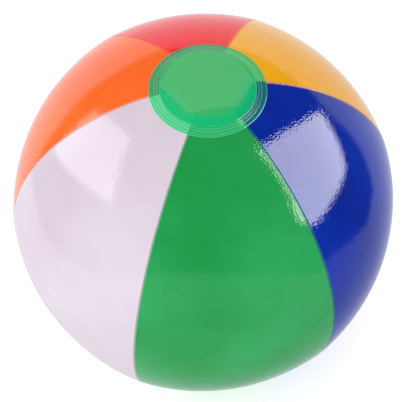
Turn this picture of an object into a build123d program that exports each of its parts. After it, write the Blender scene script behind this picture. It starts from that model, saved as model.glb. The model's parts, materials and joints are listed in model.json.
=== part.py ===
"""Inflatable beach ball: six welded film panels, two round end caps and a pop-out inflation valve.

Millimetres, +Z through the two end caps, origin at the middle of the ball.
The first panel is centred on -Y and the others follow anticlockwise seen from above.
"""

from build123d import *
from build123d.topology import SkipClean
import os
from math import cos, radians, sin, sqrt

# --- the ball -------------------------------------------------------------
seam_diameter = 300.0  # inflated size, across two opposite seams at the equator
film = 0.25  # PVC film of the panels and caps
crown_drop = 1.5  # how far a panel's middle lies inside the circle through the seams
fin_depth = 2.5  # seam allowance, welded and turned to the inside
panel_names = ["green", "blue", "yellow", "red", "orange", "white"]

# --- the round end caps ---------------------------------------------------
cap_diameter = 84.0
cap_overlap = 7.5  # ring where a cap is welded over the ends of the panels
weld_sink = 0.05  # depth by which the welded ring beds into the panels
ridge_insets = [3.5, 5.5, 7.3]  # weld ridges, from the edge of a cap
ridge_radius = 0.25
ridge_height = 0.2
contact_radius = 8.0  # patch on which the inflated ball stands

# --- the inflation valve --------------------------------------------------
valve_latitude = -40.0  # degrees, on the middle of the red panel
valve_panel = "red"
film_hole_radius = 12.0
flange_radius = 17.0  # moulded flange, welded under the film
flange_thickness = 0.8
flange_lip = 1.0  # width of flange that shows inside the hole in the film
web_thickness = 0.8  # soft cone that turns inside out when the valve is pushed in
push_travel = 12.0
stem_bore_radius = 3.5
stem_wall = 1.0
stem_below_web = 11.4  # stem inside the ball, measured from where the web holds it
rim_proud = 1.0  # rim above the film when the valve is pushed in
rim_width = 1.0
rim_thickness = 1.5
plug_clearance = 0.1  # between shank and bore
plug_depth = 4.5
plug_head_radius = 5.2
plug_head_thickness = 1.6
plug_tab_length = 2.2
plug_tab_width = 4.0
strap_reach = 2.5  # from the rim to the middle of the strap's fold
strap_width = 3.2
strap_thickness = 0.8
strap_fold_radius = 1.0  # to the middle of the strap
swing_clearance = 0.15  # between the shank's end and the bore as the plug swings out
flap_radius = 4.2
flap_thickness = 0.5
soft_gap = 0.05  # between separately moving pieces of the moulding

# --- worked out from the above --------------------------------------------
seam_radius = seam_diameter / 2
crown_radius = seam_radius - crown_drop
panel_angle = 360 / len(panel_names)
half_angle = panel_angle / 2
half_chord = seam_radius * sin(radians(half_angle))
sagitta = crown_radius - seam_radius * cos(radians(half_angle))
bulge_radius = (half_chord**2 + sagitta**2) / (2 * sagitta)
cap_radius = cap_diameter / 2
panel_end_radius = cap_radius - cap_overlap
beyond = 10.0  # how far cutting shapes run past what they cut

stem_radius = stem_bore_radius + stem_wall
rim_radius = stem_radius + rim_width
web_outer_radius = film_hole_radius - flange_lip
web_base = -(web_outer_radius**2) / (2 * crown_radius) - film - flange_thickness / 2
web_top = web_base + push_travel / 2
rim_top = push_travel + rim_proud
stem_bottom = web_top - stem_below_web
hinge_offset = rim_radius + strap_reach
shank_top_radius = stem_bore_radius - plug_clearance
swing_radius = hinge_offset + stem_bore_radius - swing_clearance
shank_end_radius = sqrt(swing_radius**2 - plug_depth**2) - hinge_offset


def panel_band(outer, inner):
    """Closed skin between two depths below the surface that a panel is cut from.

    A panel bulges less between its seams than a sphere does, so its surface is an arc
    turned about the X axis: round along the middle of the panel, flatter across it.
    The turn starts on -Y, which leaves an edge across the crown of the panel there.
    """
    bulge_centre = bulge_radius - crown_radius
    side = half_chord + beyond

    def arc_at(depth):
        radius = bulge_radius - depth
        low = bulge_centre - sqrt(radius**2 - side**2)
        return (-side, low), (0, bulge_centre - radius), (side, low)

    left, middle, right = arc_at(outer)
    far_left, far_middle, far_right = arc_at(inner)
    outline = [
        ThreePointArc(left, middle, right),
        Line(right, far_right),
        ThreePointArc(far_right, far_middle, far_left),
        Line(far_left, left),
    ]
    return revolve(make_face(outline), Axis.X, 360)


def panel_wedge(inset):
    """Wedge of space between two neighbouring seams, moved in from both by inset."""
    tip = inset / sin(radians(half_angle))
    reach = seam_radius + beyond
    spread = (reach - tip) * sin(radians(half_angle)) / cos(radians(half_angle))
    corners = [(0, -tip), (-spread, -reach), (spread, -reach)]
    outline = Polyline(*corners, close=True)
    return extrude(make_face(outline), seam_radius, both=True)


def film_panel():
    """One gore of film with its seam allowance turned in along both seams."""
    ends = Cylinder(panel_end_radius, 2 * (seam_radius + beyond))
    with SkipClean():
        with_fins = panel_band(0, film + fin_depth) & panel_wedge(0)
        hollow = panel_band(film, film + fin_depth + beyond) & panel_wedge(film)
        return with_fins - hollow - ends


def end_cap(panels, flat_radius):
    """Round cap of film over the panels' top ends, with its ridges, bedded into them."""
    outer = crown_radius + film
    inner = crown_radius - weld_sink
    middle_share = 0.6 * cap_radius

    def height(radius, r):
        return sqrt(radius**2 - max(r, flat_radius) ** 2)

    top = [(flat_radius, height(outer, 0)), (middle_share, height(outer, middle_share))]
    bottom = [(middle_share, height(inner, middle_share)), (flat_radius, height(inner, 0))]
    edges = [
        ThreePointArc(top[0], top[1], (cap_radius, height(outer, cap_radius))),
        Line((cap_radius, height(outer, cap_radius)), (cap_radius, height(inner, cap_radius))),
        ThreePointArc((cap_radius, height(inner, cap_radius)), bottom[0], bottom[1]),
    ]
    if flat_radius > 0:
        edges.append(Line(bottom[1], (0, height(inner, 0))))
    edges.append(Line((0, height(inner, 0)), (0, height(outer, 0))))
    if flat_radius > 0:
        edges.append(Line((0, height(outer, 0)), top[0]))
    cap = revolve(Plane.XZ * make_face(edges), Axis.Z, 360)
    for inset in ridge_insets:
        ring = cap_radius - inset
        level = outer + ridge_height - ridge_radius
        slope = ring / outer
        centre_r = level * slope
        centre_z = level * sqrt(1 - slope**2)
        cap += Pos(0, 0, centre_z) * Torus(centre_r, ridge_radius)
    for panel in panels:
        cap -= panel
    return cap


def turned(points):
    """Solid of revolution about the valve's axis from an outline of (radius, height)."""
    return revolve(Plane.XZ * make_face(Polyline(*points, close=True)), Axis.Z, 360)


def valve_flange(valve_place):
    """Ring of the moulding that is welded under the film round the hole."""
    skin = panel_band(film, film + flange_thickness)
    skin = skin.rotate(Axis.Z, panel_turn(valve_panel))
    reach = 4 * flange_radius
    ring = Cylinder(flange_radius, reach) - Cylinder(web_outer_radius, reach)
    return skin & (valve_place * ring)


def valve_web():
    """Soft cone between flange and stem."""
    half = web_thickness / 2
    edge = flange_thickness / 2
    inner = stem_radius + soft_gap
    return turned(
        [
            (web_outer_radius, web_base - edge),
            (web_outer_radius, web_base + edge),
            (inner, web_top + half),
            (inner, web_top - half),
        ]
    )


def valve_stem():
    """Tube that the ball is blown up through, with a rim at its mouth."""
    return turned(
        [
            (stem_bore_radius, stem_bottom),
            (stem_radius, stem_bottom),
            (stem_radius, rim_top - rim_thickness),
            (rim_radius, rim_top - rim_thickness),
            (rim_radius, rim_top),
            (stem_bore_radius, rim_top),
        ]
    )


def valve_plug():
    """Stopper: flat head with a finger tab, and a tapered shank in the stem's bore."""
    plug = turned(
        [
            (0, rim_top - plug_depth),
            (shank_end_radius, rim_top - plug_depth),
            (shank_top_radius, rim_top),
            (plug_head_radius, rim_top),
            (plug_head_radius, rim_top + plug_head_thickness),
            (0, rim_top + plug_head_thickness),
        ]
    )
    tab_inner = plug_head_radius / 2
    tab_outer = plug_head_radius + plug_tab_length
    tab_thickness = plug_head_thickness / 2
    tab = Box(tab_outer - tab_inner, plug_tab_width, tab_thickness)
    tab_middle = -(tab_inner + tab_outer) / 2
    tab_level = rim_top + plug_head_thickness - tab_thickness / 2
    return plug + Pos(tab_middle, 0, tab_level) * tab


def valve_strap():
    """Ribbon from the rim, folded back on itself to the side of the plug."""
    outer = strap_fold_radius + strap_thickness / 2
    inner = strap_fold_radius - strap_thickness / 2
    fold = Cylinder(outer, strap_width) - Cylinder(inner, strap_width)
    fold &= Pos(outer, 0, 0) * Box(2 * outer, 2 * outer, strap_width)
    fold = Pos(hinge_offset, 0, rim_top) * (Rot(X=90) * fold)
    start = stem_radius
    arm = Box(hinge_offset - start, strap_width, strap_thickness)
    arm_middle = (hinge_offset + start) / 2
    low_arm = Pos(arm_middle, 0, rim_top - strap_fold_radius) * arm
    high_arm = Pos(arm_middle, 0, rim_top + strap_fold_radius) * arm
    mouth = Pos(0, 0, rim_top)
    low_arm -= mouth * Cylinder(rim_radius, 2 * rim_top)
    high_arm -= mouth * Cylinder(plug_head_radius + soft_gap, 2 * rim_top)
    return fold + low_arm + high_arm


def valve_flap():
    """One-way flap that closes the inner end of the stem."""
    level = stem_bottom - flap_thickness / 2
    return Pos(0, 0, level) * Cylinder(flap_radius, flap_thickness)


def panel_turn(name):
    """Angle about +Z from the first panel to the named one."""
    return panel_names.index(name) * panel_angle


def valve_location():
    """Place of the valve: +Z straight out of its panel's middle, +X up towards the strap."""
    angle = radians(valve_latitude)
    outward = Vector(0, cos(angle), sin(angle))
    upward = Vector(0, -sin(angle), cos(angle))
    return Plane(origin=outward * crown_radius, x_dir=upward, z_dir=outward).location


def build_all():
    """Every piece of the ball by name."""
    panel = film_panel()
    place = valve_location()
    parts = {}
    for name in panel_names:
        parts["panel_" + name] = panel.rotate(Axis.Z, panel_turn(name))
    panels = list(parts.values())
    hole = place * Cylinder(film_hole_radius, 4 * film_hole_radius)
    with SkipClean():
        parts["panel_" + valve_panel] -= hole

    parts["top_cap"] = end_cap(panels, 0)
    bottom = end_cap(panels, contact_radius)
    parts["bottom_cap"] = bottom.mirror(Plane.XY)

    parts["valve_flange"] = valve_flange(place)
    parts["valve_web"] = place * valve_web()
    parts["valve_stem"] = place * valve_stem()
    parts["valve_strap"] = place * valve_strap()
    parts["valve_plug"] = place * valve_plug()
    parts["valve_flap"] = place * valve_flap()
    return parts


os.makedirs("parts", exist_ok=True)
for name, shape in build_all().items():
    export_step(shape, f"parts/{name}.step")

plug_hinge = valve_location() * Pos(hinge_offset, 0, rim_top)
flap_hinge = valve_location() * Pos(flap_radius, 0, stem_bottom)
print("valve axis", valve_location().position, valve_location().orientation)
print("plug hinge at", plug_hinge.position)
print("flap hinge at", flap_hinge.position)
print("ball stands at", -sqrt((crown_radius + film) ** 2 - contact_radius**2))
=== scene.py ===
import json
import logging
from dataclasses import dataclass, field
from enum import Enum
from math import acos, asin, atan2, cos, exp, pi, radians, sin, sqrt
from typing import Sequence

import bmesh
import bpy
from mathutils import Matrix, Vector, noise


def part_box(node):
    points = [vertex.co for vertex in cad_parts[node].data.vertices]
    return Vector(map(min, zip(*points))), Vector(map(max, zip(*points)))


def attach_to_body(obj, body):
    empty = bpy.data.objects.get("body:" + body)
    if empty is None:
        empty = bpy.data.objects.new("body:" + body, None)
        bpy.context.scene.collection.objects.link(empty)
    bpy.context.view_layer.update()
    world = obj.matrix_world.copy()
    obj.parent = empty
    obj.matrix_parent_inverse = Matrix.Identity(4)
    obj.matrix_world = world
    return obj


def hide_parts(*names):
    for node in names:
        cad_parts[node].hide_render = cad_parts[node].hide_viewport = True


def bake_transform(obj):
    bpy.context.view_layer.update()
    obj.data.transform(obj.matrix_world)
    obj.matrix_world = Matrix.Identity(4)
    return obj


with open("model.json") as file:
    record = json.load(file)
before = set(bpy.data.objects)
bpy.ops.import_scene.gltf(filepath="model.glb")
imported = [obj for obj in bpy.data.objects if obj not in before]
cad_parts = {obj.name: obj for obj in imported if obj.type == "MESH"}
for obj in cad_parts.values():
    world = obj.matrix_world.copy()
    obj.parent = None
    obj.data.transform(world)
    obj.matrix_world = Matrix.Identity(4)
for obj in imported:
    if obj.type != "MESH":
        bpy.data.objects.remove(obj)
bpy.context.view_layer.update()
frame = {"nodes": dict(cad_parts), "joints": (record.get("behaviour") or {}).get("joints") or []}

log = logging.getLogger("beach_ball")
MM = 0.001
FILM_THICKNESS = 0.25 * MM
SEAM_WELD_WIDTH = 1.5 * MM
CAP_WELD = 7.5 * MM
CAP_FLAT_RADIUS = 8.0 * MM
VALVE_HOLE_RADIUS = 12.0 * MM
FLANGE_RADIUS = 17.0 * MM
Colour = tuple[float, float, float]


# --- finishes ----------------------------------------------------------------


class Film(Enum):
    """The six coloured films, by the name of their panel."""

    GREEN = "green"
    BLUE = "blue"
    YELLOW = "yellow"
    RED = "red"
    ORANGE = "orange"
    WHITE = "white"


@dataclass(frozen=True)
class FilmFinish:
    """Colours of one calendered PVC film, as linear RGB.

    Attributes:
        base: the film's main colour.
        thin: the colour where the film is stretched thin and lets more light through.
        tint: how much of a neighbour's colour shows through at a weld.
    """

    base: Colour
    thin: Colour
    tint: float = 0.38


FILM_FINISHES: dict[Film, FilmFinish] = {
    Film.GREEN: FilmFinish((0.011, 0.290, 0.058), (0.024, 0.360, 0.095)),
    Film.BLUE: FilmFinish((0.0012, 0.018, 0.270), (0.003, 0.029, 0.400)),
    Film.YELLOW: FilmFinish((0.860, 0.385, 0.006), (0.890, 0.430, 0.022)),
    Film.RED: FilmFinish((0.830, 0.006, 0.010), (0.870, 0.012, 0.018)),
    Film.ORANGE: FilmFinish((0.930, 0.135, 0.018), (0.960, 0.175, 0.032)),
    Film.WHITE: FilmFinish((0.650, 0.550, 0.620), (0.700, 0.620, 0.705), 0.0),
}


@dataclass(frozen=True)
class PaintedWeldLine:
    """One round line of painted highlight or painted shade at the weld ridges of an end cap.

    Attributes:
        inset: its distance from the cap's edge, in millimetres.
        width: half of its width, in millimetres.
        share: how strongly it shows.
        tone: its colour, a painted highlight or a painted shade.
    """

    inset: float
    width: float
    share: float
    tone: Colour


# painted shade and painted highlight for the lines at the end caps' weld ridges
PAINTED_RIDGE_SHADE: Colour = (0.003, 0.140, 0.060)
PAINTED_RIDGE_HIGHLIGHT: Colour = (0.150, 0.760, 0.420)


@dataclass(frozen=True)
class CapFinish:
    """Colours of the translucent film of the end caps, as linear RGB.

    Attributes:
        middle: the cap over the open end of the ball.
        thin: the same where the film is stretched thin.
        painted_edge_glow: painted light on the film near its weld, standing for light that comes through
            from the ball.
        glow_share: how much of what lies under it shows in the painted edge glow.
        over: the cap where it lies on the end of each panel.
        lines: painted highlight and painted shade lines at its weld ridges, from the edge inward.
    """

    middle: Colour = (0.045, 0.425, 0.122)
    thin: Colour = (0.055, 0.455, 0.137)
    painted_edge_glow: Colour = (0.001, 0.480, 0.160)
    glow_share: float = 0.12
    over: tuple[tuple[Film, Colour], ...] = (
        (Film.GREEN, (0.030, 0.470, 0.150)),
        (Film.BLUE, (0.003, 0.140, 0.170)),
        (Film.YELLOW, (0.085, 0.480, 0.130)),
        (Film.RED, (0.060, 0.300, 0.120)),
        (Film.ORANGE, (0.065, 0.340, 0.130)),
        (Film.WHITE, (0.100, 0.640, 0.270)),
    )
    lines: tuple[PaintedWeldLine, ...] = (
        PaintedWeldLine(0.12, 0.40, 0.45, PAINTED_RIDGE_HIGHLIGHT),
        PaintedWeldLine(0.75, 0.45, 0.45, PAINTED_RIDGE_SHADE),
        PaintedWeldLine(3.1, 0.40, 0.50, PAINTED_RIDGE_SHADE),
        PaintedWeldLine(3.9, 0.35, 0.30, PAINTED_RIDGE_HIGHLIGHT),
        PaintedWeldLine(5.1, 0.40, 0.45, PAINTED_RIDGE_SHADE),
        PaintedWeldLine(5.9, 0.35, 0.25, PAINTED_RIDGE_HIGHLIGHT),
        PaintedWeldLine(7.0, 0.45, 0.40, PAINTED_RIDGE_SHADE),
    )


@dataclass(frozen=True)
class Grain:
    """Fine surface of one material, as inputs of the film_grain group.

    Attributes:
        roll_lines: height of the fine lines that a roll leaves.
        orange_peel: height of the small dimples.
        haze: added roughness where the surface was handled.
        gloss: roughness of the cleanest places.
        depth: depth of the relief, in metres.
        strength: how strongly the relief shows.
    """

    roll_lines: float
    orange_peel: float
    haze: float
    gloss: float
    depth: float
    strength: float = 1.0


CAP_FINISH = CapFinish()
PANEL_GRAIN = Grain(0.7, 1.3, 0.05, 0.03, 0.06 * MM)
CAP_GRAIN = Grain(0.5, 0.3, 0.05, 0.045, 0.02 * MM)


class Nodes:
    """Short-hand for laying out one shader node tree."""

    def __init__(self, tree: bpy.types.NodeTree) -> None:
        """Start on an empty tree.

        Args:
            tree: the tree to fill.
        """
        self.tree = tree
        self.column = 0

    def add(self, kind: str, **values: object) -> bpy.types.Node:
        """Add a node and set what is given.

        Args:
            kind: the node's type name.
            values: node properties, or socket values under the socket's name with
                spaces written as underscores.

        Returns:
            The new node.
        """
        node = self.tree.nodes.new(kind)
        self.column += 1
        node.location = (180 * self.column, -40 * (self.column % 5))
        for name, value in values.items():
            socket = node.inputs.get(name.replace("_", " "))
            if socket is not None and not hasattr(node, name):
                socket.default_value = value
            else:
                setattr(node, name, value)
        return node

    def join(self, source: bpy.types.NodeSocket, target: bpy.types.NodeSocket) -> None:
        """Link one socket to another."""
        self.tree.links.new(source, target)

    def to_surface(self, shader: bpy.types.Node) -> None:
        """Link a shader to the surface of the tree's material."""
        self.join(shader.outputs[0], self.add("ShaderNodeOutputMaterial").inputs[0])

    def maths(self, operation: str, first: object, second: object = 0.0) -> bpy.types.NodeSocket:
        """Add a Math node on two sockets or numbers.

        Args:
            operation: the node's operation, such as ADD.
            first: a socket or a number.
            second: a socket or a number.

        Returns:
            The result socket.
        """
        node = self.add("ShaderNodeMath", operation=operation)
        for index, value in enumerate((first, second)):
            if isinstance(value, bpy.types.NodeSocket):
                self.join(value, node.inputs[index])
            else:
                node.inputs[index].default_value = value
        return node.outputs[0]

    def ramp(self, factor: object, low: float, high: float, smooth: bool = True) -> bpy.types.NodeSocket:
        """Map a value from low..high to 0..1.

        Args:
            factor: the socket to map.
            low: the value that becomes 0.
            high: the value that becomes 1.
            smooth: ease in and out.

        Returns:
            The mapped socket.
        """
        node = self.add("ShaderNodeMapRange", interpolation_type="SMOOTHSTEP" if smooth else "LINEAR")
        node.inputs["From Min"].default_value = low
        node.inputs["From Max"].default_value = high
        self.join(factor, node.inputs["Value"])
        return node.outputs["Result"]

    def mix(self, factor: object, first: object, second: object, mode: str = "MIX") -> bpy.types.NodeSocket:
        """Mix two colours.

        Args:
            factor: a socket or a number.
            first: a socket or an RGB colour.
            second: a socket or an RGB colour.
            mode: the blend type.

        Returns:
            The mixed colour socket.
        """
        node = self.add("ShaderNodeMix", data_type="RGBA", blend_type=mode)
        places = (node.inputs[0], node.inputs[6], node.inputs[7])
        for place, value in zip(places, (factor, first, second)):
            if isinstance(value, bpy.types.NodeSocket):
                self.join(value, place)
            elif isinstance(value, float):
                place.default_value = value
            else:
                place.default_value = (*value, 1.0)
        return node.outputs[2]


def empty_material(name: str) -> tuple[bpy.types.Material, Nodes]:
    """Make a material with nothing in its node tree.

    Args:
        name: the material's name.

    Returns:
        The material and its node helper.
    """
    material = bpy.data.materials.new(name)
    material.use_nodes = True
    material.node_tree.nodes.clear()
    return material, Nodes(material.node_tree)


def group_tree(
    name: str,
    inputs: Sequence[tuple[str, str, float]],
    outputs: Sequence[tuple[str, str]],
) -> bpy.types.NodeTree:
    """Make an empty shader node group with named sockets.

    Args:
        name: the group's name.
        inputs: (name, socket type, default) of each input.
        outputs: (name, socket type) of each output.

    Returns:
        The group, with nothing inside it.
    """
    tree = bpy.data.node_groups.new(name, "ShaderNodeTree")
    for label, kind, default in inputs:
        socket = tree.interface.new_socket(name=label, in_out="INPUT", socket_type=kind)
        if kind == "NodeSocketFloat":
            socket.default_value = default
    for label, kind in outputs:
        tree.interface.new_socket(name=label, in_out="OUTPUT", socket_type=kind)
    return tree


def film_grain_group() -> bpy.types.NodeTree:
    """Surface of calendered film: roll lines, orange peel, cloudy thickness, handling haze.

    Returns:
        A group with a Vector input in metres, whose X runs across the film's roll.
    """
    tree = group_tree(
        "film_grain",
        [
            ("Vector", "NodeSocketVector", 0.0),
            ("Roll Lines", "NodeSocketFloat", 0.5),
            ("Orange Peel", "NodeSocketFloat", 0.2),
            ("Haze", "NodeSocketFloat", 0.03),
            ("Gloss", "NodeSocketFloat", 0.05),
        ],
        [("Cloud", "NodeSocketFloat"), ("Roughness", "NodeSocketFloat"), ("Height", "NodeSocketFloat")],
    )
    nodes = Nodes(tree)
    given = nodes.add("NodeGroupInput")
    result = nodes.add("NodeGroupOutput")

    stretched = nodes.add("ShaderNodeMapping")
    stretched.inputs["Scale"].default_value = (1.0, 0.13, 0.13)
    nodes.join(given.outputs["Vector"], stretched.inputs["Vector"])
    lines = nodes.add("ShaderNodeTexNoise", Scale=420.0, Detail=2.0, Roughness=0.5)
    nodes.join(stretched.outputs[0], lines.inputs["Vector"])
    peel = nodes.add("ShaderNodeTexNoise", Scale=650.0, Detail=1.0, Roughness=0.4)
    nodes.join(given.outputs["Vector"], peel.inputs["Vector"])
    cloud = nodes.add("ShaderNodeTexNoise", Scale=11.0, Detail=3.0, Roughness=0.55)
    nodes.join(given.outputs["Vector"], cloud.inputs["Vector"])
    haze = nodes.add("ShaderNodeTexNoise", Scale=38.0, Detail=4.0, Roughness=0.6)
    nodes.join(given.outputs["Vector"], haze.inputs["Vector"])

    line_height = nodes.maths("MULTIPLY", lines.outputs["Fac"], given.outputs["Roll Lines"])
    peel_height = nodes.maths("MULTIPLY", peel.outputs["Fac"], given.outputs["Orange Peel"])
    nodes.join(nodes.maths("ADD", line_height, peel_height), result.inputs["Height"])
    nodes.join(nodes.ramp(cloud.outputs["Fac"], 0.32, 0.68), result.inputs["Cloud"])
    spread = nodes.maths("MULTIPLY", nodes.ramp(haze.outputs["Fac"], 0.45, 0.8), given.outputs["Haze"])
    nodes.join(nodes.maths("ADD", spread, given.outputs["Gloss"]), result.inputs["Roughness"])
    return tree


def weld_mark_group() -> bpy.types.NodeTree:
    """Fine cross-hatched print that a welding tool leaves in soft film.

    Returns:
        A group that gives a mask and a height along a weld.
    """
    tree = group_tree(
        "weld_mark",
        [
            ("Vector", "NodeSocketVector", 0.0),
            ("Distance", "NodeSocketFloat", 0.0),
            ("Width", "NodeSocketFloat", 0.002),
        ],
        [("Mask", "NodeSocketFloat"), ("Height", "NodeSocketFloat")],
    )
    nodes = Nodes(tree)
    given = nodes.add("NodeGroupInput")
    result = nodes.add("NodeGroupOutput")
    share = nodes.maths("DIVIDE", given.outputs["Distance"], given.outputs["Width"])
    near = nodes.maths("SUBTRACT", 1.0, nodes.ramp(share, 0.35, 1.0))
    grid = nodes.add("ShaderNodeTexVoronoi", Scale=900.0, Randomness=0.25)
    nodes.join(given.outputs["Vector"], grid.inputs["Vector"])
    nodes.join(near, result.inputs["Mask"])
    nodes.join(nodes.maths("MULTIPLY", grid.outputs["Distance"], near), result.inputs["Height"])
    return tree


@dataclass
class Finishes:
    """Makes the object's materials around the two shared node groups.

    Attributes:
        half_angle: half of the angle that a panel takes at the equator, in radians.
        grain: the film_grain node group.
        weld: the weld_mark node group.
    """

    half_angle: float
    grain: bpy.types.NodeTree = field(default_factory=film_grain_group)
    weld: bpy.types.NodeTree = field(default_factory=weld_mark_group)

    def shader(self, name: str, **values: object) -> tuple[bpy.types.Material, Nodes, bpy.types.Node]:
        """Make a material with one Principled BSDF.

        Args:
            name: the material's name.
            values: socket values of the Principled BSDF.

        Returns:
            The material, its node helper and its shader node.
        """
        material, nodes = empty_material(name)
        shader = nodes.add("ShaderNodeBsdfPrincipled", **values)
        nodes.to_surface(shader)
        return material, nodes, shader

    def grain_node(self, nodes: Nodes, vector: bpy.types.NodeSocket, grain: Grain) -> bpy.types.Node:
        """Place the film_grain group in a material.

        Args:
            nodes: the material's node helper.
            vector: the coordinates, in metres.
            grain: the values of its inputs.

        Returns:
            The group's node.
        """
        node = nodes.add("ShaderNodeGroup", node_tree=self.grain)
        node.inputs["Roll Lines"].default_value = grain.roll_lines
        node.inputs["Orange Peel"].default_value = grain.orange_peel
        node.inputs["Haze"].default_value = grain.haze
        node.inputs["Gloss"].default_value = grain.gloss
        nodes.join(vector, node.inputs["Vector"])
        return node

    def emboss(
        self, nodes: Nodes, shader: bpy.types.Node, height: bpy.types.NodeSocket, grain: Grain
    ) -> None:
        """Give a material its fine relief.

        Args:
            nodes: the material's node helper.
            shader: its Principled BSDF.
            height: the relief, from 0 to 1.
            grain: its depth and strength.
        """
        bump = nodes.add("ShaderNodeBump", Strength=grain.strength, Distance=grain.depth)
        nodes.join(height, bump.inputs["Height"])
        nodes.join(bump.outputs[0], shader.inputs["Normal"])

    def turned_coordinates(self, nodes: Nodes, turn: float) -> bpy.types.NodeSocket:
        """Object coordinates turned about +Z.

        Args:
            nodes: the material's node helper.
            turn: the angle in radians.

        Returns:
            The turned vector.
        """
        place = nodes.add("ShaderNodeTexCoord")
        mapping = nodes.add("ShaderNodeMapping", vector_type="POINT")
        mapping.inputs["Rotation"].default_value = (0.0, 0.0, turn)
        nodes.join(place.outputs["Object"], mapping.inputs["Vector"])
        return mapping.outputs[0]

    def film(self, film: Film, turn: float, neighbours: tuple[Film, Film]) -> bpy.types.Material:
        """Glossy coloured film, which takes on its neighbours' colours where they are welded.

        Args:
            film: which film.
            turn: angle in radians that brings the panel's middle to -Y.
            neighbours: the films welded to its edges at -X and +X in that frame.

        Returns:
            The material.
        """
        finish = FILM_FINISHES[film]
        material, nodes, shader = self.shader(
            "film_" + film.value, IOR=1.52, Specular_IOR_Level=0.5, Coat_Weight=0.0
        )
        local = self.turned_coordinates(nodes, turn)
        grain = self.grain_node(nodes, local, PANEL_GRAIN)

        parts = nodes.add("ShaderNodeSeparateXYZ")
        nodes.join(local, parts.inputs[0])
        across = nodes.maths("MULTIPLY", nodes.maths("ABSOLUTE", parts.outputs[0]), cos(self.half_angle))
        outward = nodes.maths("MULTIPLY", parts.outputs[1], -sin(self.half_angle))
        seam = nodes.maths("SUBTRACT", outward, across)
        weld = nodes.add("ShaderNodeGroup", node_tree=self.weld)
        weld.inputs["Width"].default_value = SEAM_WELD_WIDTH
        nodes.join(local, weld.inputs["Vector"])
        nodes.join(seam, weld.inputs["Distance"])

        colour = nodes.mix(grain.outputs["Cloud"], finish.base, finish.thin)
        side = nodes.ramp(parts.outputs[0], -1 * MM, 1 * MM)
        tint = nodes.mix(side, FILM_FINISHES[neighbours[0]].base, FILM_FINISHES[neighbours[1]].base)
        tinted = nodes.maths("MULTIPLY", weld.outputs["Mask"], finish.tint)
        colour = nodes.mix(tinted, colour, tint)
        nodes.join(colour, shader.inputs["Base Color"])
        weld_dulling, print_height = 0.12, 0.8
        dull = nodes.maths("MULTIPLY", weld.outputs["Mask"], weld_dulling)
        nodes.join(nodes.maths("ADD", grain.outputs["Roughness"], dull), shader.inputs["Roughness"])
        printed = nodes.maths("MULTIPLY", weld.outputs["Height"], print_height)
        height = nodes.maths("ADD", grain.outputs["Height"], printed)
        self.emboss(nodes, shader, height, PANEL_GRAIN)
        return material

    def cap(self, cap_radius: float, end_radius: float) -> bpy.types.Material:
        """Translucent green film of the end caps, with the panels' ends showing through its rim and painted
        light near its weld on the -Y side.

        Args:
            cap_radius: radius of a cap.
            end_radius: radius of the circle that the panels' ends leave open.

        Returns:
            The material.
        """
        material, nodes, shader = self.shader("film_cap", IOR=1.52, Specular_IOR_Level=0.5)
        place = nodes.add("ShaderNodeTexCoord")
        parts = nodes.add("ShaderNodeSeparateXYZ")
        nodes.join(place.outputs["Object"], parts.inputs[0])
        flat = nodes.add("ShaderNodeVectorMath", operation="MULTIPLY")
        flat.inputs[1].default_value = (1.0, 1.0, 0.0)
        nodes.join(place.outputs["Object"], flat.inputs[0])
        length = nodes.add("ShaderNodeVectorMath", operation="LENGTH")
        nodes.join(flat.outputs[0], length.inputs[0])
        radius = length.outputs["Value"]
        grain = self.grain_node(nodes, place.outputs["Object"], CAP_GRAIN)

        over = self.panel_end_colour(nodes, parts)
        backed = nodes.ramp(radius, end_radius - 0.25 * MM, end_radius + 0.05 * MM)
        # painted light: the film just inside the weld is brightened on the cap's -Y side, as if lit from
        # inside the ball
        rim = nodes.ramp(radius, end_radius - 14 * MM, end_radius - 2 * MM)
        front = nodes.ramp(nodes.maths("MULTIPLY", parts.outputs[1], -1.0), -22 * MM, 8 * MM)
        painted_front_glow = nodes.maths("MULTIPLY", rim, front)
        middle = nodes.mix(grain.outputs["Cloud"], CAP_FINISH.middle, CAP_FINISH.thin)
        painted_edge_glow = nodes.mix(CAP_FINISH.glow_share, CAP_FINISH.painted_edge_glow, over)
        colour = nodes.mix(backed, nodes.mix(painted_front_glow, middle, painted_edge_glow), over)
        # painted highlights and painted shade as rings at the weld ridges
        for mark in CAP_FINISH.lines:
            centre = cap_radius - mark.inset * MM
            away = nodes.maths("ABSOLUTE", nodes.maths("SUBTRACT", radius, centre))
            line = nodes.maths("SUBTRACT", 1.0, nodes.ramp(away, 0.0, mark.width * MM))
            colour = nodes.mix(nodes.maths("MULTIPLY", line, mark.share), colour, mark.tone)
        nodes.join(colour, shader.inputs["Base Color"])
        nodes.join(grain.outputs["Roughness"], shader.inputs["Roughness"])
        self.emboss(nodes, shader, grain.outputs["Height"], CAP_GRAIN)
        return material

    def panel_end_colour(self, nodes: Nodes, parts: bpy.types.Node) -> bpy.types.NodeSocket:
        """Colour of the cap over the panels' ends, in one sector for each panel.

        Args:
            nodes: the material's node helper.
            parts: the node that gives X, Y and Z on the cap.

        Returns:
            The colour socket.
        """
        turn = nodes.maths("ARCTAN2", parts.outputs[1], parts.outputs[0])
        first_seam = 1.0 + 1.0 / 3.0
        turn = nodes.maths("ADD", nodes.maths("DIVIDE", turn, 2 * pi), first_seam)
        sectors = nodes.add("ShaderNodeValToRGB")
        sectors.color_ramp.interpolation = "CONSTANT"
        elements = sectors.color_ramp.elements
        for index, (_, colour) in enumerate(CAP_FINISH.over):
            position = index / len(CAP_FINISH.over)
            element = elements[index] if index < len(elements) else elements.new(position)
            element.position = position
            element.color = (*colour, 1.0)
        nodes.join(nodes.maths("FRACT", turn), sectors.inputs[0])
        return sectors.outputs[0]

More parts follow.
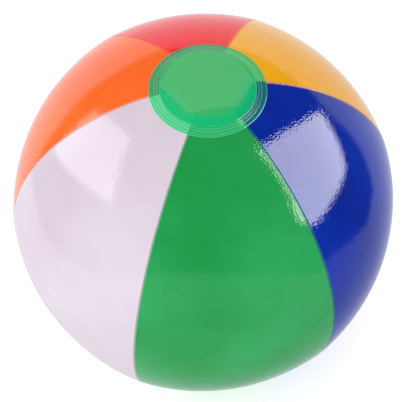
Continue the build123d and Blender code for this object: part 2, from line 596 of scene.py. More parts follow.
    def moulding(self, name: str, tint: Colour, gloss: float) -> bpy.types.Material:
        """Soft milky PVC of the valve, fine-grained from its mould.

        Args:
            name: the material's name.
            tint: linear RGB colour.
            gloss: roughness of the cleanest places.

        Returns:
            The material.
        """
        material, nodes, shader = self.shader(
            name, IOR=1.5, Subsurface_Weight=0.35, Subsurface_Scale=0.8 * MM, Transmission_Weight=0.0
        )
        shader.inputs["Subsurface Radius"].default_value = (1.0, 1.0, 1.0)
        place = nodes.add("ShaderNodeTexCoord")
        skin = Grain(0.0, 1.0, 0.2, gloss, 0.02 * MM, 0.6)
        grain = self.grain_node(nodes, place.outputs["Object"], skin)
        shade = tuple(0.86 * channel for channel in tint)
        nodes.join(nodes.mix(grain.outputs["Cloud"], tint, shade), shader.inputs["Base Color"])
        nodes.join(grain.outputs["Roughness"], shader.inputs["Roughness"])
        self.emboss(nodes, shader, grain.outputs["Height"], skin)
        return material


# --- mesh work ---------------------------------------------------------------


def finish_mesh(name: str, bm: bmesh.types.BMesh, material: bpy.types.Material) -> bpy.types.Object:
    """Turn a bmesh into a smooth-shaded object in the scene.

    Args:
        name: the piece's name.
        bm: the mesh, which is freed.
        material: its finish.

    Returns:
        The new object.
    """
    mesh = bpy.data.meshes.new(name)
    for face in bm.faces:
        face.smooth = True
    bm.to_mesh(mesh)
    bm.free()
    mesh.materials.append(material)
    piece = bpy.data.objects.new(name, mesh)
    bpy.context.scene.collection.objects.link(piece)
    return piece


def chain(bm: bmesh.types.BMesh, points: Sequence[Vector]) -> None:
    """Add an open line of edges.

    Args:
        bm: the mesh to add to.
        points: the line's points in order.
    """
    verts = [bm.verts.new(point) for point in points]
    for first, second in zip(verts, verts[1:]):
        bm.edges.new((first, second))


def extend(
    bm: bmesh.types.BMesh, edges: list[bmesh.types.BMEdge], step: Vector
) -> list[bmesh.types.BMEdge]:
    """Extrude a ribbon's end by one step.

    Args:
        bm: the ribbon's mesh.
        edges: the edges at its end.
        step: the move.

    Returns:
        The edges at the new end.
    """
    made = bmesh.ops.extrude_edge_only(bm, edges=edges)["geom"]
    verts = [item for item in made if isinstance(item, bmesh.types.BMVert)]
    bmesh.ops.translate(bm, verts=verts, vec=step)
    sides = [item for item in made if isinstance(item, bmesh.types.BMEdge)]
    return [edge for edge in sides if all(vert in verts for vert in edge.verts)]


def lathe(points: Sequence[tuple[float, float]], steps: int) -> bmesh.types.BMesh:
    """Spin an outline of (radius, height) a full turn about +Z.

    Args:
        points: the outline in order, running so that its left side is outside.
        steps: faces round the turn.

    Returns:
        The spun mesh with its normals outward.
    """
    bm = bmesh.new()
    chain(bm, [Vector((max(r, 0.0), 0.0, z)) for r, z in points])
    bmesh.ops.spin(
        bm, geom=bm.verts[:] + bm.edges[:], cent=(0, 0, 0), axis=(0, 0, 1), dvec=(0, 0, 0),
        angle=2 * pi, steps=steps, use_merge=True, use_duplicate=False,
    )
    bmesh.ops.remove_doubles(bm, verts=bm.verts[:], dist=1e-7)
    bmesh.ops.recalc_face_normals(bm, faces=bm.faces[:])
    return bm


def add_solidify(piece: bpy.types.Object, thickness: float) -> None:
    """Give a skin its film thickness, inward from its outer face.

    Args:
        piece: the skin.
        thickness: the film's thickness.
    """
    modifier = piece.modifiers.new("film", "SOLIDIFY")
    modifier.thickness = thickness
    modifier.offset = -1.0
    modifier.use_even_offset = False


def add_bevel(piece: bpy.types.Object, width: float, angle: float = 35.0) -> None:
    """Round a moulded piece's edges.

    Args:
        piece: the moulded piece.
        width: the width of the rounding.
        angle: edges flatter than this stay as they are, in degrees.
    """
    modifier = piece.modifiers.new("rounded", "BEVEL")
    modifier.width = width
    modifier.segments = 3
    modifier.limit_method = "ANGLE"
    modifier.angle_limit = radians(angle)


def attach(piece: bpy.types.Object, body: str, slot: str, *nodes: str) -> bpy.types.Object:
    """Ride a finished piece on its body, in place of its CAD nodes.

    Args:
        piece: the finished piece.
        body: the body it moves with.
        slot: the record's material slot; not used.
        nodes: the CAD nodes it stands for.

    Returns:
        The same piece.
    """
    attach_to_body(piece, body)
    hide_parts(*nodes)
    log.info("%s on %s: %d faces", piece.name, body, len(piece.data.polygons))
    return piece


# --- the ball ----------------------------------------------------------------


@dataclass
class Shape:
    """The inflated ball's form, which panels and caps share. Sizes in metres.

    Attributes:
        seam_radius: from the ball's middle to a seam at the equator.
        crown_radius: from the ball's middle to the middle of a panel.
        cap_radius: radius of an end cap.
        end_radius: radius of the circle that the panels' ends leave open.
        film: film thickness.
        panels: number of panels round the ball.
    """

    seam_radius: float
    crown_radius: float
    cap_radius: float
    end_radius: float
    film: float
    panels: int = 6

    @property
    def half_angle(self) -> float:
        """Half of a panel's angle at the equator."""
        return pi / self.panels

    def panel_surface(self, direction: Vector) -> float:
        """Distance of the panels' surface from the ball's middle.

        Args:
            direction: unit vector, in the frame of a panel centred on -Y.

        Returns:
            The distance along that direction.
        """
        half_chord = self.seam_radius * sin(self.half_angle)
        sagitta = self.crown_radius - self.seam_radius * cos(self.half_angle)
        bulge = (half_chord**2 + sagitta**2) / (2 * sagitta)
        offset = bulge - self.crown_radius
        side = direction.x
        return sqrt(bulge**2 - (offset * side) ** 2) - offset * sqrt(1 - side**2)


@dataclass
class ValveSeat:
    """Where the valve stands on its panel. The local frame has +Z outward and +X up.

    Attributes:
        place: matrix from the valve's frame to the ball's.
        outward: the valve's axis.
        hole_radius: radius of the hole in the film.
        flange_radius: radius of the moulding's flange under the film.
    """

    place: Matrix
    outward: Vector
    hole_radius: float
    flange_radius: float

    def distance(self, point: Vector) -> float:
        """Distance of a point from the valve's axis.

        Args:
            point: a point of the ball.

        Returns:
            The distance, or a whole metre on the side away from the valve.
        """
        along = point.dot(self.outward)
        return (point - self.outward * along).length if along > 0 else 1.0


@dataclass
class FilmPanel:
    """One gore of film, spun from a meridian, shaped by air pressure and welded along two seams.

    Attributes:
        film: its colour.
        centre: azimuth of its middle, in radians.
        shape: the ball's form.
        neighbours: the films on its two sides, clockwise side first, seen from above.
        seat: the valve's seat, or None on a panel without a valve.
        rows: faces from end to end.
        columns: faces from seam to seam.
        crease: radius at which the film turns in at a seam.
        fin_depth: depth of the seam allowance inside.
        pucker: height of the small gathers along a seam.
        pucker_length: distance from one gather to the next.
        pucker_reach: distance over which the gathers fade.
        waviness: height of the slow waves in the film.
        wave_fade: distance from a seam at which the waves are at their full height.
        groove_depth: depth of the rings that the valve's weld leaves.
        groove_width: half width of such a ring.
    """

    film: Film
    centre: float
    shape: Shape
    neighbours: tuple[Film, Film]
    seat: ValveSeat | None = None
    rows: int = 190
    columns: int = 56
    crease: float = 0.5 * MM
    fin_depth: float = 2.2 * MM
    pucker: float = 0.055 * MM
    pucker_length: float = 8.5 * MM
    pucker_reach: float = 7.0 * MM
    waviness: float = 0.10 * MM
    wave_fade: float = 25.0 * MM
    groove_depth: float = 0.16 * MM
    groove_width: float = 0.45 * MM

    def build(self, finishes: Finishes) -> bpy.types.Object:
        """Make and dress the panel.

        Args:
            finishes: the material maker.

        Returns:
            The panel's object.
        """
        bm = self.spun_patch()
        if self.seat is not None:
            self.open_valve_hole(bm)
        self.inflate(bm)
        self.turn_in_seams(bm)
        name = self.film.value
        material = finishes.film(self.film, -self.centre - pi / 2, self.neighbours)
        piece = finish_mesh("panel_" + name + "_film", bm, material)
        add_solidify(piece, self.shape.film)
        return attach(piece, "ball", "film_" + name, "panel_" + name)

    def spun_patch(self) -> bmesh.types.BMesh:
        """Patch of a sphere between two seams, with finer columns near the seams.

        Returns:
            The patch, facing outward, in the ball's frame.
        """
        radius = self.shape.crown_radius
        end = acos(self.shape.end_radius / radius)
        start = Vector((radius * cos(end), 0.0, -radius * sin(end)))
        bm = bmesh.new()
        first = bm.verts.new(start)
        bmesh.ops.spin(
            bm, geom=[first], cent=(0, 0, 0), axis=(0, -1, 0), dvec=(0, 0, 0),
            angle=2 * end, steps=self.rows, use_merge=False, use_duplicate=False,
        )
        half = self.shape.half_angle
        bmesh.ops.rotate(bm, verts=bm.verts[:], cent=(0, 0, 0), matrix=Matrix.Rotation(-half, 3, "Z"))
        bmesh.ops.spin(
            bm, geom=bm.verts[:] + bm.edges[:], cent=(0, 0, 0), axis=(0, 0, 1), dvec=(0, 0, 0),
            angle=2 * half, steps=self.columns, use_merge=False, use_duplicate=False,
        )
        bmesh.ops.remove_doubles(bm, verts=bm.verts[:], dist=1e-7)
        for vert in bm.verts:
            share = atan2(vert.co.y, vert.co.x) / half
            share = max(-1.0, min(1.0, share))
            wanted = sin(share * pi / 2) * half
            flat = Vector((vert.co.x, vert.co.y)).length
            vert.co = Vector((flat * cos(wanted), flat * sin(wanted), vert.co.z))
        bmesh.ops.rotate(bm, verts=bm.verts[:], cent=(0, 0, 0), matrix=Matrix.Rotation(self.centre, 3, "Z"))
        bmesh.ops.recalc_face_normals(bm, faces=bm.faces[:])
        outside = sum(face.normal.dot(face.calc_center_median()) for face in bm.faces[:20])
        if outside < 0:
            bmesh.ops.reverse_faces(bm, faces=bm.faces[:])
        return bm

    def open_valve_hole(self, bm: bmesh.types.BMesh) -> None:
        """Refine the film round the valve and cut its round hole.

        Args:
            bm: the panel's patch.
        """
        seat = self.seat
        for reach in (2.1, 1.7):
            edges = [
                edge
                for edge in bm.edges
                if max(seat.distance(vert.co) for vert in edge.verts) < reach * seat.hole_radius
            ]
            bmesh.ops.subdivide_edges(bm, edges=edges, cuts=1, use_grid_fill=True)
        inside = [
            face for face in bm.faces if seat.distance(face.calc_center_median()) < seat.hole_radius
        ]
        bmesh.ops.delete(bm, geom=inside, context="FACES")
        for vert in bm.verts:
            away = seat.distance(vert.co)
            if vert.is_boundary and away < 1.3 * seat.hole_radius:
                foot = seat.outward * vert.co.dot(seat.outward)
                vert.co = foot + (vert.co - foot) * (seat.hole_radius / away)

    def seam_distance(self, local: Vector) -> float:
        """Distance from the nearer seam's plane.

        Args:
            local: a point in the frame of a panel centred on -Y.

        Returns:
            The distance, or 0 past the seam.
        """
        half = self.shape.half_angle
        return max(0.0, -local.y * sin(half) - abs(local.x) * cos(half))

    def inflate(self, bm: bmesh.types.BMesh) -> None:
        """Move every point out to the inflated film, with its creases, gathers and waves.

        Args:
            bm: the panel's patch.
        """
        turn = Matrix.Rotation(-self.centre - pi / 2, 3, "Z")
        for vert in bm.verts:
            direction = vert.co.normalized()
            local = turn @ direction
            radius = self.shape.panel_surface(local)
            seam = self.seam_distance(local * radius)
            side = 1.0 if local.x > 0 else -1.0
            height = self.gathers(asin(local.z), seam, side) + self.waves(direction, seam)
            if seam < self.crease:
                height -= self.crease - sqrt(self.crease**2 - (self.crease - seam) ** 2)
            if self.seat is not None:
                height += self.valve_weld(direction * radius)
            vert.co = direction * (radius + height)

    def gathers(self, latitude: float, seam: float, side: float) -> float:
        """Height of the small gathers where flat film is drawn into a curved seam.

        Args:
            latitude: angle above the equator.
            seam: distance from the seam.
            side: which seam of the panel, -1 or 1.

        Returns:
            The height above the clean surface, below 0 between two gathers.
        """
        along = latitude * self.shape.seam_radius / self.pucker_length
        ripple = noise.noise(Vector((along, 7.3 * side, self.centre * 3.0)))
        fade = exp(-seam / self.pucker_reach)
        return self.pucker * fade * (2.0 * ripple - 0.4)

    def waves(self, direction: Vector, seam: float) -> float:
        """Height of slow waves in the film, which fade out at the seams.

        Args:
            direction: unit vector from the ball's middle.
            seam: distance from the seam.

        Returns:
            The height, on average a little below the clean surface.
        """
        free = min(1.0, seam / self.wave_fade)
        broad = noise.noise(direction * 3.1 + Vector((0.0, 0.0, self.centre)))
        small = noise.noise(direction * 9.0 + Vector((self.centre, 0.0, 5.0)))
        return self.waviness * free * (broad + 0.3 * small - 0.4)

    def valve_weld(self, point: Vector) -> float:
        """Height of the two rings that the welding tool leaves over the valve's flange.

        Args:
            point: a point of the film.

        Returns:
            The height, 0 or below.
        """
        away = self.seat.distance(point)
        rings = (self.seat.hole_radius + 1.6 * MM, self.seat.flange_radius - 1.0 * MM)
        groove = sum(exp(-(((away - ring) / self.groove_width) ** 2)) for ring in rings)
        return -self.groove_depth * groove

    def turn_in_seams(self, bm: bmesh.types.BMesh) -> None:
        """Extend the film into the ball along both seams, as the welded allowance.

        Args:
            bm: the panel's mesh.
        """
        turn = Matrix.Rotation(-self.centre - pi / 2, 3, "Z")
        near = 0.02 * MM
        open_edges = [edge for edge in bm.edges if edge.is_boundary]
        edges = [
            edge
            for edge in open_edges
            if all(self.seam_distance(turn @ vert.co) < near for vert in edge.verts)
        ]
        made = bmesh.ops.extrude_edge_only(bm, edges=edges)
        for item in made["geom"]:
            if isinstance(item, bmesh.types.BMVert):
                item.co -= item.co.normalized() * self.fin_depth


@dataclass
class EndCap:
    """Round cap welded over the panels' ends, spun from its profile.

    Attributes:
        name: the CAD node it stands for.
        shape: the ball's form.
        up: 1 for the top cap and -1 for the bottom cap.
        flat_radius: radius of the flat that the ball stands on, or 0.
        ridge_insets: distance of each weld ridge from the edge.
        ridge_height: height of a ridge.
        ridge_width: half width of a ridge.
        pressed: how far the welded ring is pressed in.
        edge_width: width of the cap's thinned edge.
        slack: height of the slow waves in the middle.
        steps: faces round the cap.
        rings: profile points from the middle to the edge.
    """

    name: str
    shape: Shape
    up: float
    flat_radius: float = 0.0
    ridge_insets: tuple[float, ...] = (0.6 * MM, 3.5 * MM, 5.5 * MM, 7.3 * MM)
    ridge_height: float = 0.17 * MM
    ridge_width: float = 0.38 * MM
    pressed: float = 0.10 * MM
    edge_width: float = 0.35 * MM
    slack: float = 0.10 * MM
    steps: int = 180
    rings: int = 150

    def build(self, finishes: Finishes) -> bpy.types.Object:
        """Make and dress the cap.

        Args:
            finishes: the material maker.

        Returns:
            The cap's object.
        """
        outer = self.shape.crown_radius + self.shape.film
        points = []
        for index in range(self.rings + 1):
            r = self.shape.cap_radius * (index / self.rings) ** 0.75
            points.append((r, sqrt(outer**2 - max(r, self.flat_radius) ** 2) + self.relief(r)))
        bm = lathe(points, self.steps)
        for vert in bm.verts:
            vert.co.z = self.up * (vert.co.z + self.slackness(vert.co))
        bmesh.ops.recalc_face_normals(bm, faces=bm.faces[:])
        if sum(face.normal.z for face in bm.faces) * self.up < 0:
            bmesh.ops.reverse_faces(bm, faces=bm.faces[:])
        material = finishes.cap(self.shape.cap_radius, self.shape.end_radius)
        piece = finish_mesh(self.name + "_film", bm, material)
        add_solidify(piece, self.shape.film)
        return attach(piece, "ball", "film_cap", self.name)

    def relief(self, r: float) -> float:
        """Height of the weld's ridges and of its pressed ring at a radius.

        Args:
            r: distance from the cap's middle.

        Returns:
            The height above the plain film.
        """
        inset = self.shape.cap_radius - r
        ridges = sum(exp(-(((inset - place) / self.ridge_width) ** 2)) for place in self.ridge_insets)
        sunk = self.pressed if inset < self.ridge_insets[-1] else 0.0
        edge = 0.5 * self.shape.film * max(0.0, 1.0 - inset / self.edge_width)
        return self.ridge_height * ridges - sunk - edge

    def slackness(self, point: Vector) -> float:
        """Slow waves in the unwelded middle of the cap, which fade to its weld and its flat.

        Args:
            point: a point of the cap.

        Returns:
            The height above the plain film.
        """
        r = Vector((point.x, point.y)).length
        free = max(0.0, 1.0 - r / self.shape.end_radius)
        if self.flat_radius > 0:
            free *= min(1.0, max(0.0, r - self.flat_radius) / self.flat_radius)
        return self.slack * free * (noise.noise(point * 45.0) - 0.3)


# --- the valve ---------------------------------------------------------------


@dataclass
class Valve:
    """Pop-out inflation valve: flange, web, stem, strap, stopper and one-way flap.

    Attributes:
        seat: where the valve stands.
        rim_top: height of the stem's mouth above the panel's middle.
        stem_bottom: height of the stem's inner end.
        hinge_offset: distance of the strap's fold from the axis.
        travel: how far the stem is pushed in.
        bore: radius of the stem's bore.
        wall: thickness of the stem's wall.
        rim_width: how far the rim stands out from the stem.
        rim_thickness: height of the rim.
        flange_lip: width of the flange that shows in the film's hole.
        web_base: height at which the web leaves the flange.
        web_thickness: thickness of the web.
        web_ring: height of the web's flex rings.
        web_bow: how far the web bulges in its middle.
        plug_depth: depth of the stopper in the stem.
        plug_end: radius of the stopper's end.
        head_radius: radius of the stopper's head.
        head_thickness: height of the stopper's head.
        dish: depth of the hollow in the stopper's head.
        tab_reach: how far the finger tab stands out from the head.
        tab_width: width of the finger tab.
        tab_thickness: thickness of the finger tab.
        rib_size: width and height of the grip ribs on the tab.
        strap_width: width of the ribbon.
        strap_thickness: thickness of the ribbon.
        fold_radius: radius of the ribbon's fold.
        gap: room between the stopper and the bore.
    """

    seat: ValveSeat
    rim_top: float
    stem_bottom: float
    hinge_offset: float
    travel: float
    bore: float = 3.5 * MM
    wall: float = 1.0 * MM
    rim_width: float = 1.0 * MM
    rim_thickness: float = 1.5 * MM
    flange_lip: float = 1.0 * MM
    web_base: float = -1.1 * MM
    web_thickness: float = 0.7 * MM
    web_ring: float = 0.14 * MM
    web_bow: float = 0.5 * MM
    plug_depth: float = 4.4 * MM
    plug_end: float = 2.35 * MM
    head_radius: float = 5.2 * MM
    head_thickness: float = 1.6 * MM
    dish: float = 0.3 * MM
    tab_reach: float = 2.2 * MM
    tab_width: float = 4.0 * MM
    tab_thickness: float = 0.7 * MM
    rib_size: float = 0.3 * MM
    strap_width: float = 3.2 * MM
    strap_thickness: float = 0.8 * MM
    fold_radius: float = 1.0 * MM
    gap: float = 0.1 * MM

    def build(self, finishes: Finishes) -> list[bpy.types.Object]:
        """Make and dress the valve's pieces.

        Args:
            finishes: the material maker.

        Returns:
            The pieces.
        """
        milky = finishes.moulding("valve_moulding", (0.80, 0.83, 0.82), 0.28)
        clear = finishes.moulding("valve_stopper", (0.86, 0.88, 0.88), 0.2)
        return [
            self.dressed_node("valve_flange", milky),
            self.web(milky),
            self.stem(milky),
            self.strap(clear),
            self.plug(clear),
            self.dressed_node("valve_flap", clear),
        ]

    def set_down(
        self, name: str, bm: bmesh.types.BMesh, material: bpy.types.Material, bevel: float
    ) -> bpy.types.Object:
        """Move a piece from the valve's frame to its place on the ball.

        Args:
            name: the piece's name.
            bm: its mesh in the valve's frame.
            material: its finish.
            bevel: width of its rounded edges.

        Returns:
            The piece, not yet riding on a body.
        """
        bmesh.ops.recalc_face_normals(bm, faces=bm.faces[:])
        bm.transform(self.seat.place)
        piece = finish_mesh(name, bm, material)
        if bevel > 0:
            add_bevel(piece, bevel)
        return piece

    @property
    def web_top(self) -> float:
        """Height at which the web holds the stem."""
        return self.web_base + self.travel / 2

    def dressed_node(self, name: str, material: bpy.types.Material) -> bpy.types.Object:
        """Keep a small inner piece as the CAD made it, in its own finish.

        Args:
            name: the CAD node, which is the flange or the flap.
            material: its finish.

        Returns:
            The node's object.
        """
        node = frame["nodes"][name]
        node.data.materials.clear()
        node.data.materials.append(material)
        log.info("%s keeps its CAD shape", name)
        return node

    def web(self, material: bpy.types.Material) -> bpy.types.Object:
        """Soft cone with moulded flex rings between the flange and the stem, in one fixed shape.

        Args:
            material: its finish.

        Returns:
            The web's object.
        """
        outer = self.seat.hole_radius - self.flange_lip
        inner = self.bore + self.wall
        count = 26
        rings = 5
        upper = []
        for index in range(count + 1):
            share = index / count
            r = outer + (inner - outer) * share
            z = self.web_base + (self.web_top - self.web_base) * share
            ring = self.web_ring * sin(share * rings * 2 * pi) * sin(share * pi)
            bow = self.web_bow * sin(share * pi)
            upper.append((r, z + ring + bow))
        half = self.web_thickness / 2
        points = [(r, z + half) for r, z in upper] + [(r, z - half) for r, z in reversed(upper)]
        bm = lathe(points + [points[0]], 96)
        piece = self.set_down("valve_web_cone", bm, material, 0.0)
        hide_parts("valve_web")
        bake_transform(piece)
        return piece

    def stem(self, material: bpy.types.Material) -> bpy.types.Object:
        """Tube with a collar at the web, a rounded rim and a mouth that flares to take the stopper.

        Args:
            material: its finish.

        Returns:
            The stem's object.
        """
        outer = self.bore + self.wall
        rim = outer + self.rim_width
        low, top = self.stem_bottom, self.rim_top
        middle = self.web_top
        collar = outer + 0.35 * MM
        points = [
            (self.bore, low),
            (outer, low),
            (outer, middle - 1.2 * MM),
            (collar, middle - 0.8 * MM),
            (collar, middle + 0.8 * MM),
            (outer, middle + 1.2 * MM),
            (outer, top - self.rim_thickness - 0.5 * MM),
            (rim, top - self.rim_thickness),
            (rim, top),
            (self.bore + 0.25 * MM, top),
            (self.bore, top - 0.4 * MM),
            (self.bore, low),
        ]
        bm = lathe(points, 72)
        piece = self.set_down("valve_stem_tube", bm, material, 0.15 * MM)
        return attach(piece, "stem", "valve_moulding", "valve_stem")

    def plug(self, material: bpy.types.Material) -> bpy.types.Object:
        """Stopper with a dished head, a tapered shank and a ribbed finger tab.

        Args:
            material: its finish.

        Returns:
            The stopper's object.
        """
        top = self.rim_top
        head = top + self.head_thickness
        shank = self.bore - self.gap
        points = [
            (0.0, top - self.plug_depth),
            (self.plug_end - 0.5 * MM, top - self.plug_depth),
            (self.plug_end, top - self.plug_depth + 0.5 * MM),
            (shank, top - 0.4 * MM),
            (shank, top),
            (self.head_radius, top),
            (self.head_radius, head),
            (self.head_radius - 0.9 * MM, head),
            (self.head_radius - 1.3 * MM, head - self.dish),
            (0.0, head - self.dish),
        ]
        bm = lathe(points, 72)
        self.add_tab(bm, head - 0.12 * MM)
        piece = self.set_down("valve_stopper", bm, material, 0.14 * MM)
        return attach(piece, "plug", "valve_moulding", "valve_plug")

    def add_tab(self, bm: bmesh.types.BMesh, height: float) -> None:
        """Add the finger tab with its three grip ribs to the stopper.

        Args:
            bm: the stopper's mesh.
            height: height of the tab's upper face.
        """
        tab = bmesh.ops.create_cube(bm, size=1.0)["verts"]
        inner, outer = 0.8 * self.head_radius, self.head_radius + self.tab_reach
        bmesh.ops.scale(bm, verts=tab, vec=(outer - inner, self.tab_width, self.tab_thickness))
        middle = (-(inner + outer) / 2, 0.0, height - self.tab_thickness / 2)
        bmesh.ops.translate(bm, verts=tab, vec=middle)
        for index in range(3):
            rib = bmesh.ops.create_cube(bm, size=1.0)["verts"]
            bmesh.ops.scale(bm, verts=rib, vec=(self.rib_size, 0.8 * self.tab_width, self.rib_size))
            place = -(self.head_radius + 0.5 * MM + 2 * self.rib_size * index)
            bmesh.ops.translate(bm, verts=rib, vec=(place, 0.0, height + 0.02 * MM))

    def strap(self, material: bpy.types.Material) -> bpy.types.Object:
        """Ribbon from the rim to the stopper, folded back on itself at rest.

        Args:
            material: its finish.

        Returns:
            The strap's object.
        """
        bm = bmesh.new()
        half = self.strap_width / 2
        low = self.rim_top - self.fold_radius
        start = self.bore + self.wall + 0.6 * self.rim_width
        end = self.head_radius - 0.15 * MM
        chain(bm, [Vector((start, -half, low)), Vector((start, half, low))])
        arm_steps = 6
        made = bm.edges[:]
        for _ in range(arm_steps):
            made = extend(bm, made, Vector(((self.hinge_offset - start) / arm_steps, 0.0, 0.0)))
        spun = bmesh.ops.spin(
            bm, geom=made, cent=(self.hinge_offset, 0, self.rim_top), axis=(0, -1, 0), dvec=(0, 0, 0),
            angle=pi, steps=14, use_merge=False, use_duplicate=False,
        )
        made = [item for item in spun["geom_last"] if isinstance(item, bmesh.types.BMEdge)]
        for _ in range(arm_steps):
            made = extend(bm, made, Vector(((end - self.hinge_offset) / arm_steps, 0.0, 0.0)))
        bmesh.ops.remove_doubles(bm, verts=bm.verts[:], dist=1e-7)
        bmesh.ops.recalc_face_normals(bm, faces=bm.faces[:])
        bmesh.ops.solidify(bm, geom=bm.faces[:], thickness=self.strap_thickness)
        lowest = min(vert.co.z for vert in bm.verts)
        wanted = low - self.strap_thickness / 2
        bmesh.ops.translate(bm, verts=bm.verts[:], vec=(0.0, 0.0, wanted - lowest))
        piece = self.set_down("valve_strap_ribbon", bm, material, 0.12 * MM)
        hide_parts("valve_strap")
        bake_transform(piece)
        return piece


# --- the studio --------------------------------------------------------------


def studio_direction(azimuth: float, elevation: float) -> Vector:
    """Unit vector towards a place in the studio.

    Args:
        azimuth: angle from +X towards +Y, in degrees.
        elevation: angle above the ball's equator, in degrees.

    Returns:
        The vector.
    """
    a, e = radians(azimuth), radians(elevation)
    return Vector((cos(a) * cos(e), sin(a) * cos(e), sin(e)))


def stage_piece(name: str, bm: bmesh.types.BMesh, material: bpy.types.Material) -> bpy.types.Object:
    """Put a piece of the studio in the scene.

    Args:
        name: the piece's name.
        bm: its mesh, which is freed.
        material: its finish.

    Returns:
        The piece's object.
    """
    mesh = bpy.data.meshes.new(name)
    bm.to_mesh(mesh)
    bm.free()
    mesh.materials.append(material)
    piece = bpy.data.objects.new(name, mesh)
    bpy.context.scene.collection.objects.link(piece)
    return piece


def reflected_only(name: str, bm: bmesh.types.BMesh, strength: float) -> bpy.types.Object:
    """Hang an evenly bright sheet that shows only in reflections.

    Args:
        name: the sheet's name.
        bm: the sheet's mesh, which is freed.
        strength: its brightness.

    Returns:
        The sheet's object.
    """
    material, nodes = empty_material(name)
    nodes.to_surface(nodes.add("ShaderNodeEmission", Strength=strength))
    sheet = stage_piece(name, bm, material)
    for rays in ("camera", "diffuse", "transmission", "volume_scatter", "shadow"):
        setattr(sheet, "visible_" + rays, False)
    return sheet


@dataclass
class ReflectorCard:
    """A softbox's front, which shows only in the gloss of the film.

    Attributes:
        name: the card's name.
        corners: (azimuth, elevation) of each corner seen from the ball, in degrees.
        strength: its brightness.
        distance: how far it stands from the ball's middle.
    """

    name: str
    corners: tuple[tuple[float, float], ...]
    strength: float
    distance: float = 1.6

    def build(self) -> bpy.types.Object:
        """Hang the card.

        Returns:
            The card's object.
        """
        bm = bmesh.new()
        places = [studio_direction(*corner) * self.distance for corner in self.corners]
        bm.faces.new([bm.verts.new(place) for place in places])
        return reflected_only(self.name, bm, self.strength)


CARDS = (
    ReflectorCard("card_left", ((134.5, 22), (159, 50), (193.5, 29.5), (148, -0.5)), 3.4),
    ReflectorCard("card_right", ((-14, 64), (23.5, 19), (2, 7.5), (-30, 15), (-42, 24)), 8.0),
    ReflectorCard("card_back", ((111, 46), (108, 71), (45, 62), (51, 42), (80, 14)), 0.9, 1.9),
)
CANOPY_TOP = (-70, 65)
CANOPY_RIM = (
    (-124, 11), (-101, 15.7), (-70, 9.5), (-42, -9.5), (-30, -8), (-18.5, -13.7), (-2.6, -21.9),
    (10.4, -20.8), (17.8, -9), (23.5, 10.5), (35, 16), (50, 18), (66, 20), (81, 19),
    (95, 19), (105, 16), (117, 12), (134, -5), (139, -20), (165, -24), (-165, -14), (-142, 0),
)


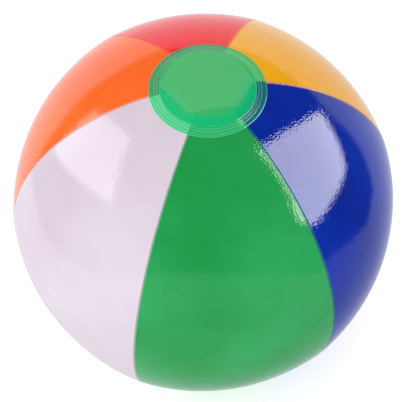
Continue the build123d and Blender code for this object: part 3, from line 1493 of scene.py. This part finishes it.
@dataclass
class Studio:
    """Pale floor, soft light all round, and the camera.

    Attributes:
        floor_level: height of the floor.
        radius: radius of the ball across its seams.
        azimuth: camera angle about +Z, 0 looking along +Y.
        elevation: camera angle above the ball's equator.
        roll: turn of the camera about its own axis.
        distance_in_radii: from the camera to the ball's middle.
        lens: focal length in millimetres.
        shift: camera shift that frames the ball.
        canopy_distance: from the ball's middle to the canopy over the dark part of the room.
        canopy_strength: the canopy's faint brightness.
        floor_glow: how brightly the floor is lit from below.
        key_power: power of the large soft light, in watts.
    """

    floor_level: float
    radius: float
    azimuth: float = -11.7
    elevation: float = 56.2
    roll: float = 2.1
    distance_in_radii: float = 7.0
    lens: float = 118.5
    shift: tuple[float, float] = (-0.0067, 0.0031)
    canopy_distance: float = 6.0
    canopy_strength: float = 0.06
    floor_glow: float = 0.42
    key_power: float = 13.0

    def build(self) -> None:
        """Set up the whole studio."""
        self.floor()
        self.surroundings()
        self.key_light()
        for card in CARDS:
            card.build()
        self.dark_room()
        self.camera()

    def dark_room(self) -> None:
        """Close off the unlit part of the room with a dark canopy that only the gloss sees."""
        bm = bmesh.new()
        middle = bm.verts.new(studio_direction(*CANOPY_TOP) * self.canopy_distance)
        places = [studio_direction(*corner) * self.canopy_distance for corner in CANOPY_RIM]
        verts = [bm.verts.new(place) for place in places]
        for first, second in zip(verts, verts[1:] + verts[:1]):
            bm.faces.new((middle, first, second))
        reflected_only("canopy", bm, self.canopy_strength)

    def floor(self) -> None:
        """Lay the plain pale floor, lit from below like a light table."""
        bm = bmesh.new()
        bmesh.ops.create_grid(bm, x_segments=2, y_segments=2, size=6.0)
        bmesh.ops.translate(bm, verts=bm.verts[:], vec=(0.0, 0.0, self.floor_level))
        material, nodes = empty_material("floor")
        shader = nodes.add("ShaderNodeBsdfPrincipled", Roughness=0.9, Specular_IOR_Level=0.0)
        shader.inputs["Base Color"].default_value = (0.9, 0.9, 0.9, 1.0)
        shader.inputs["Emission Color"].default_value = (1.0, 1.0, 1.0, 1.0)
        shader.inputs["Emission Strength"].default_value = self.floor_glow
        nodes.to_surface(shader)
        stage_piece("floor", bm, material).visible_glossy = False

    def surroundings(self) -> None:
        """Even light for the colours, and a softer white sweep for the gloss."""
        world = bpy.data.worlds.new("studio")
        world.use_nodes = True
        world.node_tree.nodes.clear()
        nodes = Nodes(world.node_tree)
        place = nodes.add("ShaderNodeTexCoord")
        lean = nodes.add("ShaderNodeVectorMath", operation="DOT_PRODUCT")
        lean.inputs[1].default_value = (-0.3, 0.8, 0.3)
        nodes.join(place.outputs["Generated"], lean.inputs[0])
        share = nodes.ramp(lean.outputs["Value"], -0.9, 0.8)
        sweep = nodes.mix(share, (0.42, 0.46, 0.54), (1.00, 1.00, 1.04))
        path = nodes.add("ShaderNodeLightPath")
        lit = nodes.mix(path.outputs["Is Glossy Ray"], (0.85, 0.85, 0.87), sweep)
        colour = nodes.mix(path.outputs["Is Camera Ray"], lit, (1.0, 1.0, 1.0))
        background = nodes.add("ShaderNodeBackground", Strength=1.0)
        nodes.join(colour, background.inputs["Color"])
        output = nodes.add("ShaderNodeOutputWorld")
        nodes.join(background.outputs[0], output.inputs[0])
        bpy.context.scene.world = world

    def key_light(self) -> None:
        """Hang one large soft light above and to the left of the camera."""
        light = bpy.data.lights.new("key", "AREA")
        light.shape = "SQUARE"
        light.size = 1.6
        light.energy = self.key_power
        lamp = bpy.data.objects.new("key", light)
        lamp.location = (-0.9, -0.7, 1.7)
        lamp.rotation_euler = Vector(lamp.location).to_track_quat("Z", "Y").to_euler()
        lamp.visible_glossy = False
        bpy.context.scene.collection.objects.link(lamp)

    def camera(self) -> None:
        """Place the camera on the ball."""
        a, e = radians(self.azimuth), radians(self.elevation)
        back = Vector((sin(a) * cos(e), -cos(a) * cos(e), sin(e)))
        data = bpy.data.cameras.new("camera")
        data.lens = self.lens
        data.sensor_width = 36.0
        data.shift_x, data.shift_y = self.shift
        data.clip_start = 0.05
        data.clip_end = 50.0
        camera = bpy.data.objects.new("camera", data)
        camera.location = back * self.distance_in_radii * self.radius
        turn = back.to_track_quat("Z", "Y").to_matrix() @ Matrix.Rotation(radians(self.roll), 3, "Z")
        camera.rotation_euler = turn.to_euler()
        bpy.context.scene.collection.objects.link(camera)
        bpy.context.scene.camera = camera
        bpy.context.scene.view_settings.view_transform = "Standard"


# --- putting it together -----------------------------------------------------


def joint(name: str) -> dict[str, object]:
    """The record's joint of that name."""
    return next(item for item in frame["joints"] if item["name"] == name)


def ball_shape() -> Shape:
    """Read the sizes of the ball from the frame.

    Returns:
        The ball's form.
    """
    seam_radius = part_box("panel_yellow")[1].x
    crown_radius = -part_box("panel_green")[0].y
    cap_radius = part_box("top_cap")[1].x
    return Shape(seam_radius, crown_radius, cap_radius, cap_radius - CAP_WELD, FILM_THICKNESS)


def valve_seat(shape: Shape) -> ValveSeat:
    """Read the place of the valve from its joints.

    Args:
        shape: the ball's form.

    Returns:
        The seat.
    """
    outward = Vector(joint("valve_push")["axis"]).normalized()
    side = Vector(joint("plug_swing")["axis"]).normalized()
    up = side.cross(outward).normalized()
    turn = Matrix((up, side, outward)).transposed().to_4x4()
    place = Matrix.Translation(outward * shape.crown_radius) @ turn
    return ValveSeat(place, outward, VALVE_HOLE_RADIUS, FLANGE_RADIUS)


def build_valve(seat: ValveSeat, finishes: Finishes) -> None:
    """Build the valve from its joints' places.

    Args:
        seat: where the valve stands.
        finishes: the material maker.
    """
    into_seat = seat.place.inverted()
    hinge = into_seat @ Vector(joint("plug_swing")["pos_m"])
    flap = into_seat @ Vector(joint("flap_swing")["pos_m"])
    travel = -joint("valve_push")["range_m"][0]
    Valve(seat, hinge.z, flap.z, hinge.x, travel).build(finishes)


def main() -> None:
    """Build the studio and the ball in order."""
    logging.basicConfig(level=logging.INFO, format="%(name)s: %(message)s")
    shape = ball_shape()
    seat = valve_seat(shape)
    finishes = Finishes(shape.half_angle)
    step = 2 * pi / shape.panels
    films = list(Film)
    for index, film in enumerate(films):
        neighbours = (films[index - 1], films[(index + 1) % len(films)])
        carried = seat if film is Film.RED else None
        FilmPanel(film, -pi / 2 + index * step, shape, neighbours, carried).build(finishes)
    EndCap("top_cap", shape, 1.0).build(finishes)
    EndCap("bottom_cap", shape, -1.0, flat_radius=CAP_FLAT_RADIUS).build(finishes)
    build_valve(seat, finishes)
    Studio(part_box("bottom_cap")[0].z, shape.seam_radius).build()


if __name__ == "__main__":
    main()
